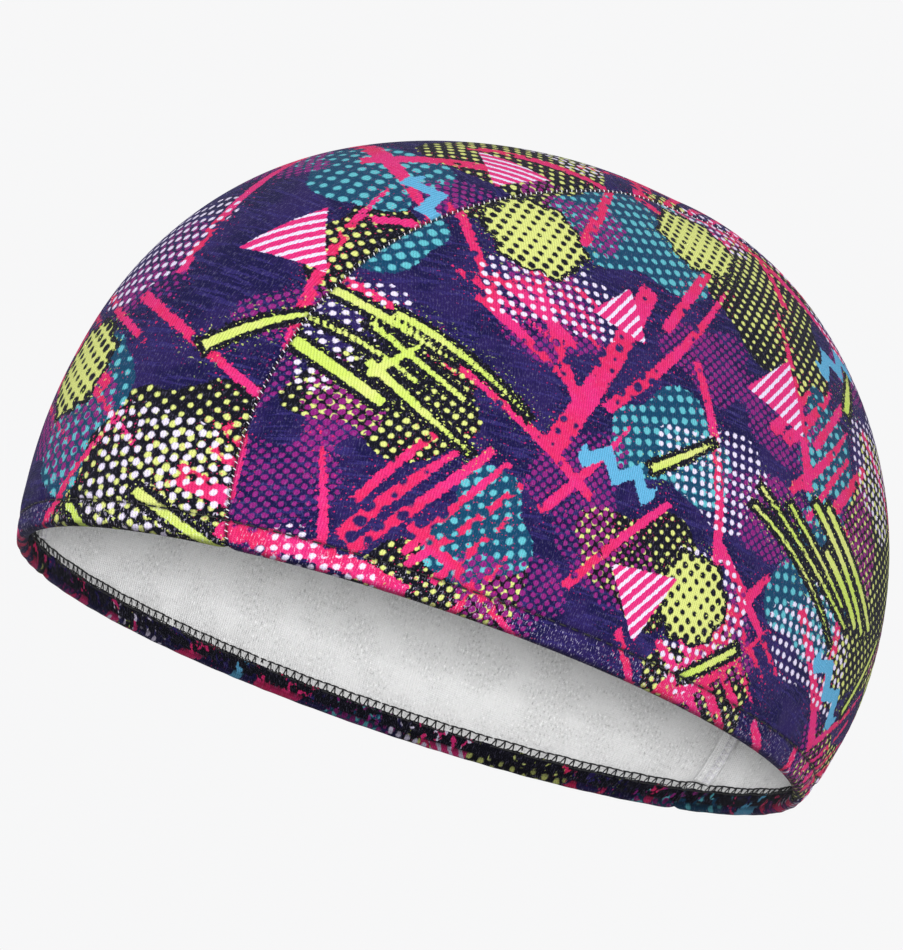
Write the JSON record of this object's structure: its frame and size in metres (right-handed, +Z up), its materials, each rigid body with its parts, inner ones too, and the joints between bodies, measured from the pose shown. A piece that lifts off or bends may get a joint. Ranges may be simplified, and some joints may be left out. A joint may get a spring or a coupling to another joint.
{
  "type": "swim cap",
  "caption": "Close-fitting stretch-cloth swim cap, a sewn dome of panels with a turned-in hem round its open rim, in the shape it has when worn.",
  "frame": {"origin": "centre of the rim opening, on the plane of the rim, where a head goes in", "axes": "+Z up from the rim to the crown, -Y the front over the forehead, +X the wearer's left"},
  "size_m": [0.1536, 0.2012, 0.1238],
  "materials": {
    "centre_cloth": "matte knitted polyester, printed outside in navy, purple, hot pink and lime, pale grey inside",
    "side_cloth": "matte knitted polyester, printed outside in navy, purple, hot pink and lime, pale grey inside"
  },
  "bodies": {
    "root": {"centre_panel": "centre_cloth", "left_panel": "side_cloth", "right_panel": "side_cloth"}
  },
  "joints": []
}
